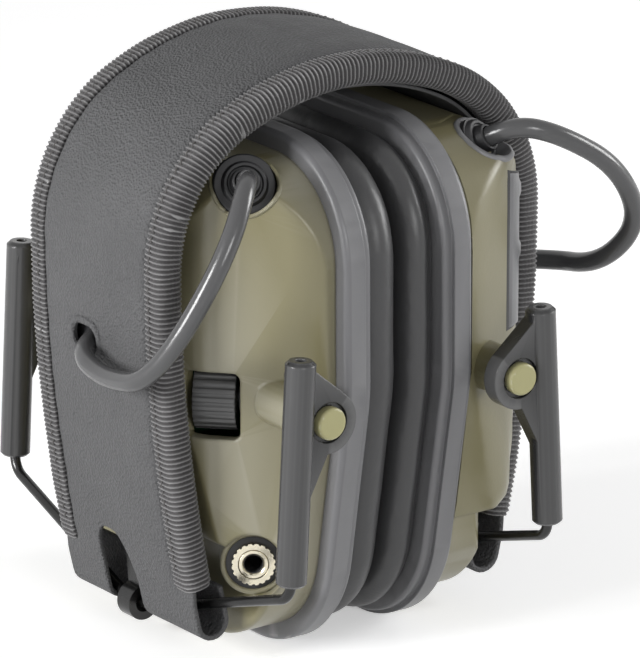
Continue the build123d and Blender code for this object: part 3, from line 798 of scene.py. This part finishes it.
def dome_face(y, z, bulk):
    """Outer x of the cup's dome, its flat middle widened by bulk and its edges rounded."""
    far, flat, step_x = facet_far + bulk, facet_flat + bulk, dome_far_x - dome_step
    slant = step_x + (far - abs(y)) * (step_x - dome_low_x) / (dome_half - far)
    bevel = dome_far_x - (abs(y) - flat) * dome_step / (far - flat)
    limits = (under_band(z), slant, bevel, dome_far_x)
    low = min(limits)
    x = low - dome_soft * math.log(sum(math.exp((low - limit) / dome_soft) for limit in limits))
    x += dome_soft * math.log(2)
    edge = max(edge_distance(y, z) + rim_over, 0)
    if edge < rim_round:
        x -= rim_round - math.sqrt(rim_round**2 - (rim_round - edge)**2)
    return x


def lid(name, spots, lift, falls, finish, hole=None):
    """Skin over the right dome from rows of (y, z) points, its border dropped into the cup."""
    def drop(point, fall):
        return Vector((max(point.x - fall, dome_low_x), point.y, point.z))

    grid = []
    for row in spots:
        line = [Vector((dome_face(y, z, battery_bulk) + lift(y, z), y, z)) for y, z in row]
        grid.append([drop(line[0], fall) for fall in reversed(falls)] + line
                    + [drop(line[-1], fall) for fall in falls])
    grid = ([[drop(point, fall) for point in grid[0]] for fall in reversed(falls)] + grid
            + [[drop(point, fall) for point in grid[-1]] for fall in falls])
    verts, faces = skin_rings(grid, close_ring=False)
    if hole:
        origin, axis, radius = hole

        def kept(face):
            way = sum((verts[i] for i in face), Vector()) / len(face) - origin
            return (way - axis * way.dot(axis)).length > radius
        faces = [face for face in faces if kept(face)]
    slot = "grey_plastic" if finish == "rubber" else finish
    return piece(name, verts, faces, finish, slot, "right_cup", smooth=50)


def spread(count):
    """Even steps from -1 to 1, with close ones at both ends."""
    ends = [0.0, 0.004, 0.012, 0.025, 0.045]
    inner = [0.07 + 0.86 * i / count for i in range(count + 1)]
    steps = ends + inner + [1 - e for e in reversed(ends)]
    return [2 * t - 1 for t in steps]


ray_rise, ray_long = 15, 40
hit_near = 4.9  # a hit further than this along the axis belongs to another face


def laid(mesh, origin, axis, radius, count):
    """Circle laid on a mesh along its axis: for each ray the hit or None, the face's normal,
    the way outward along the face, and the way outward square to the axis."""
    tree = BVHTree.FromPolygons([v.co / mm for v in mesh.vertices],
                                [p.vertices for p in mesh.polygons])
    up, across, along = square_to(axis)
    found = []
    for a, b in circle(count):
        way = across * a + along * b
        hit, normal, _, _ = tree.ray_cast(origin + way * radius + up * ray_rise, -up, ray_long)
        if hit is None:
            found.append((None, up, way, way))
            continue
        if normal.dot(up) < 0:
            normal = -normal
        found.append((hit, normal, (way - normal * way.dot(normal)).normalized(), way))
    return found


def hug(name, node, origin, axis, radius, thick, finish, body, count=72):
    """Thin raised lip round a hole, laid on a CAD node's own surface."""
    rings = []
    for hit, normal, out, _ in laid(nodes[node].data, origin, axis, radius, count):
        if hit is None or abs((hit - origin).dot(axis)) > hit_near:
            continue
        rings.append([hit + out * thick * a + normal * thick * gland_lip_flat * b
                      for a, b in circle(10)])
    return piece(name, *skin_rings(rings, close_run=len(rings) == count), finish, finish, body)


shoulder_rows, shoulder_low, shoulder_high = 70, 23.0, 97.2
shoulder_lift = 0.06
shoulder_falls = (0.8, 1.6, 2.4, 3.2, 4.0, 5.0, 6.0, 7.5, 9.0, 30.0)
shoulder_hole = 5.0
search_step, search_end = 0.1, 40
across_steps = 44


def battery_shoulder():
    """Fuller shoulders of the battery cup, laid over the plainer rigid shell."""
    rows = []
    for i in range(shoulder_rows):
        share = 1 - (1 - i / (shoulder_rows - 1)) ** 1.5
        z = shoulder_low + (shoulder_high - shoulder_low) * share
        half = 0.0
        while half < search_end and edge_distance(half + search_step, z) > -rim_over:
            half += search_step
        rows.append([(half * t, z) for t in spread(across_steps)])
    return lid("right_battery_shoulder", rows, lambda y, z: shoulder_lift, shoulder_falls,
               "olive_shell", (Vector(gland_at["right"]), gland_dir, shoulder_hole))


seat_radius, seat_inner = 5.1, 4.5
seat_lip = ((0.8, -0.15), (0.6, 0.22), (0.2, 0.4), (-0.25, 0.32), (-0.5, 0.0))
seat_floor_radii = (4.8, 4.4, 3.9, 3.4, 2.9, 2.4)
seat_floor_low, seat_floor_clear = -1.6, 0.15


def gland_seat(shoulder):
    """Grey lipped seat of the battery cup's gland, and the dark floor inside it."""
    origin = Vector(gland_at["right"])
    rings = []
    for hit, normal, out, _ in laid(shoulder.data, origin, gland_dir, seat_radius, 72):
        if hit is None or abs((hit - origin).dot(gland_dir)) > hit_near:
            continue
        ring = [hit + out * across + normal * high for across, high in seat_lip]
        ring.append(origin + out * seat_inner + gland_dir * gland_low)
        rings.append(ring)
    piece("right_gland_seat", *skin_rings(rings, close_ring=False, close_run=True),
          "grey_plastic", "grey_plastic", "right_cup")
    rings = []
    for radius in seat_floor_radii:
        ring = []
        for hit, _, _, way in laid(nodes["right_shell"].data, origin, gland_dir, radius, 60):
            high = seat_floor_low
            if hit:
                high = max((hit - origin).dot(gland_dir) + seat_floor_clear, high)
            ring.append(origin + way * radius + gland_dir * high)
        rings.append(ring)
    piece("right_gland_floor", *skin_rings(rings, caps=False), "rubber", "cable_jacket",
          "right_cup")


door_row_count = 67
door_face, door_rib_high, door_rib_inset = 0.7, 0.45, 1.5
door_rib_half, door_rib_foot = 1.0, 1.8
# the dark skin just wider than the door is painted shade for the gap round it
gap_shade_wide, gap_shade_lift, gap_shade_fall, door_fall = 0.45, 0.14, 1.0, 1.2


def door_rows(border):
    """Rows of (y, z) over the battery door, grown by a border and notched round the gland."""
    low, way = door_low - border, gland_clear - border
    rows = []
    for i in range(door_row_count):
        row = []
        for t in spread(across_steps):
            y = (door_half + border) * t
            top = door_high + border
            near = way**2 - (y - gland_at["right"][1])**2
            if near > 0:
                top = min(top, gland_at["right"][2] - math.sqrt(near))
            row.append((y, low + (top - low) * i / (door_row_count - 1)))
        rows.append(row)
    return rows


def door_lift(y, z):
    """Height of the battery door's face over the dome, with its two grip ribs."""
    rib = 1 - ramp(min(abs(z - spot) for spot in rib_spots), door_rib_half, door_rib_foot)
    return door_face + door_rib_high * rib * ramp(door_half - door_rib_inset - abs(y), 0, 1.0)


def battery_side():
    """Shoulders, gland seat and wide door of the battery cup, with a dark skin under the door's
    edge as painted shade in its gap.
    """
    gland_seat(battery_shoulder())
    # dark rubber skin round the door: painted shade in the gap
    lid("right_door_gap_shade", door_rows(gap_shade_wide), lambda y, z: gap_shade_lift, (gap_shade_fall,), "rubber")
    lid("right_door_skin", door_rows(0.0), door_lift, (door_fall,), "grey_plastic")


cushion_lean = {"left": -0.7, "right": 0.9}  # how far each squashed face lies off the middle


def ear_cushion(side):
    """Ring cushion: crowned face, swollen sides and a pinched seam beside the rim plate."""
    lean = cushion_lean[side]
    section = [(a, x + lean * max(8 - x, 0) / 8) for a, x in (
        (1.6, 8.15), (0.75, 7.6), (0.9, 7.0), (-0.3, 5.7), (-0.7, 4.0), (0.2, 2.0), (2.2, 0.75),
        (5.0, 0.3), (8.0, 0.3), (11.0, 0.75), (13.6, 1.9), (15.2, 3.8), (15.6, 5.8),
        (14.6, 7.4), (13.6, 8.15))]
    count = 150
    loops = [outline(cushion_inset + inward, count) for inward, _ in section]
    rings = []
    for i in range(count):
        ring = []
        for j, (inward, x) in enumerate(section):
            y, z = loops[j][i]
            swell = 0.10 * noise.noise(Vector((i * 0.9, j * 0.5, hand(side) * 3.1)))
            swell += 0.16 * noise.noise(Vector((y / 9, z / 9, hand(side) * 5.7)))
            far = 1 if x < 7 else 0.2
            ring.append((hand(side) * (x + max(swell, -0.05) * far), y, z))
        rings.append(ring)
    made = piece(side + "_cushion", *skin_rings(rings, close_run=True), "cushion_skin",
                 "cushion_skin", smooth=80)
    fine = made.modifiers.new("fine", "SUBSURF")
    fine.levels = fine.render_levels = 2
    apply_modifiers(made, 80)
    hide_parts(side + "_ear_cushion")
    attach(made, side + "_cup")
    return made


def foam(side):
    """Open foam behind the cushion, with a hole for the speaker and an uneven face."""
    hole_radius = speaker_dia / 2 + 0.3
    section = ((0.06, 0), (0.0, 0.8), (0.0, foam_thick), (1.0, foam_thick), (1.0, 0.8),
               (0.94, 0.1), (0.7, -0.1), (0.35, -0.1))
    rings = []
    for edge_y, edge_z in outline(foam_inset, 120):
        turn = math.atan2(edge_z - speaker_z, edge_y)
        hole_y = hole_radius * math.cos(turn)
        hole_z = speaker_z + hole_radius * math.sin(turn)
        ring = []
        for t, x in section:
            y = edge_y + (hole_y - edge_y) * t
            z = edge_z + (hole_z - edge_z) * t
            dimple = 0.35 * noise.noise(Vector((y / 4, z / 4, 2.0))) if x < 0.5 else 0
            ring.append((hand(side) * (foam_x + x + dimple), y, z))
        rings.append(ring)
    made = piece(side + "_foam", *skin_rings(rings, close_run=True), "padding", "padding",
                 side + "_cup", smooth=60)
    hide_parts(side + "_foam_insert")
    return made


def grommet(side):
    """Stepped rubber grommet that grips the cable in the gland's seat."""
    mirror = Vector((hand(side), 1, 1))
    axis, origin = gland_dir * mirror, Vector(gland_at[side]) * mirror
    hole = cable_dia / 2 + 0.06
    wide = gland_half[side]
    profile = [(hole, gland_low), (wide, gland_low), (wide, -1.9), (wide - 0.3, -1.6),
               (4.4, -1.6), (4.2, -1.0), (3.9, -0.7), (3.4, -0.7), (3.2, -1.1), (2.9, -1.1),
               (2.75, 0.0), (2.55, 0.7), (hole + 0.2, 0.85), (hole, 0.6)]
    made = piece(side + "_grommet", *turned(profile, origin, axis), "rubber", "cable_jacket",
                 side + "_cup")
    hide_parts(side + "_cable_gland")
    if side == "left":
        hug("left_gland_lip", "left_shell", origin, axis, gland_lip_radius, gland_lip_thick,
            "olive_shell", "left_cup")


def jack_trim():
    """Dark washer, raised olive rim and bright sleeve round the audio jack."""
    axis = Vector((-math.cos(jack_turn), -math.sin(jack_turn), 0))
    washer = [(3.9, -0.2), (5.2, -0.2), (5.2, 0.12), (5.0, 0.2), (3.9, 0.2)]
    rim = [(5.15, -0.3), (6.25, -0.3), (6.25, 0.25), (6.0, 0.55), (5.5, 0.55), (5.2, 0.2)]
    sleeve = [(1.76, 0.2), (2.9, 0.2), (2.9, 1.0), (2.7, 1.25), (2.2, 1.3), (1.95, 1.1),
              (1.76, 0.8)]
    for name, profile, count, finish, slot in (
            ("jack_washer", washer, 48, "rubber", "black_plastic"),
            ("jack_rim", rim, 56, "olive_shell", "olive_shell"),
            ("jack_sleeve", sleeve, 48, "bright_metal", "bright_metal")):
        piece(name, *turned(profile, jack_at, axis, count), finish, slot, "left_cup")


for side in SIDES:
    ear_cushion(side)
    foam(side)
    grommet(side)
jack_trim()
battery_side()

finishes = {
    "olive_shell": ["left_shell", "right_shell"],
    "olive_stud": [s + e for s in SIDES for e in ("_front_stud", "_rear_stud")],
    "grey_plastic": ["left_rim_plate", "right_rim_plate", "battery_door"],
    "black_plastic": [s + e for s in SIDES
                      for e in ("_front_slider", "_rear_slider", "_speaker", "_baffle")]
    + ["volume_wheel", "volume_control", "battery_tray", "jack_socket"],
    "yoke_steel": [s + e for s in SIDES for e in ("_yoke_wire", "_hinge_eye")],
    "spring_steel": [s + e for s in SIDES for e in ("_eye_rivets", "_cup_screws")]
    + ["battery_contacts"],
    "bright_metal": ["jack_nut"],
    "board": ["circuit_board"],
    "cell_wrap": ["batteries"],
}
for finish, members in finishes.items():
    for node in members:
        paint(node, finish)


# ---------------------------------------- floor, light and camera
def seen_by_eye(tree):
    """1 for camera, glossy and transmission rays, 0 for the light that falls on things."""
    path = tree.nodes.new("ShaderNodeLightPath")
    found = path.outputs["Is Camera Ray"]
    for kind in ("Is Glossy Ray", "Is Transmission Ray"):
        either = tree.nodes.new("ShaderNodeMath")
        either.operation = "MAXIMUM"
        tree.links.new(found, either.inputs[0])
        tree.links.new(path.outputs[kind], either.inputs[1])
        found = either.outputs[0]
    return found


floor_half = 4.0  # metres
floor_mesh = bpy.data.meshes.new("floor")
floor_mesh.from_pydata([(-floor_half, -floor_half, 0), (floor_half, -floor_half, 0),
                        (floor_half, floor_half, 0), (-floor_half, floor_half, 0)],
                       [], [(0, 1, 2, 3)])
floor = show("floor", floor_mesh)
floor_look = bpy.data.materials.new("floor")
floor_look.use_nodes = True
floor_mesh.materials.append(floor_look)
floor_tree = floor_look.node_tree
floor_shader = floor_tree.nodes["Principled BSDF"]
floor_shader.inputs["Base Color"].default_value = (0.93, 0.93, 0.93, 1)
floor_shader.inputs["Roughness"].default_value = 0.9
floor_shader.inputs["Specular IOR Level"].default_value = 0.0
lift = floor_tree.nodes.new("ShaderNodeMath")
lift.operation = "MULTIPLY"
lift.inputs[1].default_value = 0.40
floor_tree.links.new(seen_by_eye(floor_tree), lift.inputs[0])
floor_shader.inputs["Emission Color"].default_value = (1, 1, 1, 1)
floor_tree.links.new(lift.outputs[0], floor_shader.inputs["Emission Strength"])

world = bpy.data.worlds.new("studio")
bpy.context.scene.world = world
world.use_nodes = True
sky = world.node_tree
sky.nodes.clear()
out = sky.nodes.new("ShaderNodeOutputWorld")
light = sky.nodes.new("ShaderNodeBackground")
light.inputs["Color"].default_value = (1, 1, 1, 1)
height = sky.nodes.new("ShaderNodeSeparateXYZ")
sky.links.new(sky.nodes.new("ShaderNodeTexCoord").outputs["Generated"], height.inputs[0])
dome_light = sky.nodes.new("ShaderNodeMapRange")
dome_light.inputs["From Min"].default_value = 0.1
dome_light.inputs["From Max"].default_value = 0.9
dome_light.inputs["To Min"].default_value = 0.58
dome_light.inputs["To Max"].default_value = 0.1
sky.links.new(height.outputs["Z"], dome_light.inputs["Value"])
sky.links.new(dome_light.outputs["Result"], light.inputs["Strength"])
seen = sky.nodes.new("ShaderNodeBackground")
seen.inputs["Color"].default_value = (1, 1, 1, 1)
seen.inputs["Strength"].default_value = 1.0
choose = sky.nodes.new("ShaderNodeMixShader")
sky.links.new(seen_by_eye(sky), choose.inputs[0])
sky.links.new(light.outputs[0], choose.inputs[1])
sky.links.new(seen.outputs[0], choose.inputs[2])
sky.links.new(choose.outputs[0], out.inputs[0])


def lamp(name, place, size, power, aim=(0, 0, 0.05)):
    """Soft rectangular lamp that looks at the object, in metres and watts."""
    data = bpy.data.lights.new(name, "AREA")
    data.shape = "RECTANGLE"
    data.size, data.size_y = size
    data.energy = power
    made = show(name, data)
    made.location = place
    made.rotation_euler = (Vector(aim) - Vector(place)).to_track_quat("-Z", "Y").to_euler()


lamp("key", (-1.2, 0.1, 0.38), (0.45, 0.5), 19.0)
lamp("side", (0.85, -0.35, 0.35), (0.3, 0.5), 5.5)
lamp("front", (-0.25, -1.1, 0.4), (0.4, 0.3), 4.0)

view_up, view_side = math.radians(17.87), math.radians(-36.0)
view_far = 1.258  # metres
back = Vector((math.sin(view_side) * math.cos(view_up), -math.cos(view_side) * math.cos(view_up),
               math.sin(view_up)))
aim = Vector((7.1, -4.1, 54.5)) * mm
lens = bpy.data.cameras.new("camera")
lens.sensor_fit = "VERTICAL"
lens.sensor_height = 36.0
lens.lens = 362.5
lens.clip_start = 0.05
camera = show("camera", lens)
camera.location = aim + back * view_far
camera.rotation_euler = (-back).to_track_quat("-Z", "Y").to_euler()
bpy.context.scene.camera = camera
bpy.context.scene.view_settings.view_transform = "Standard"
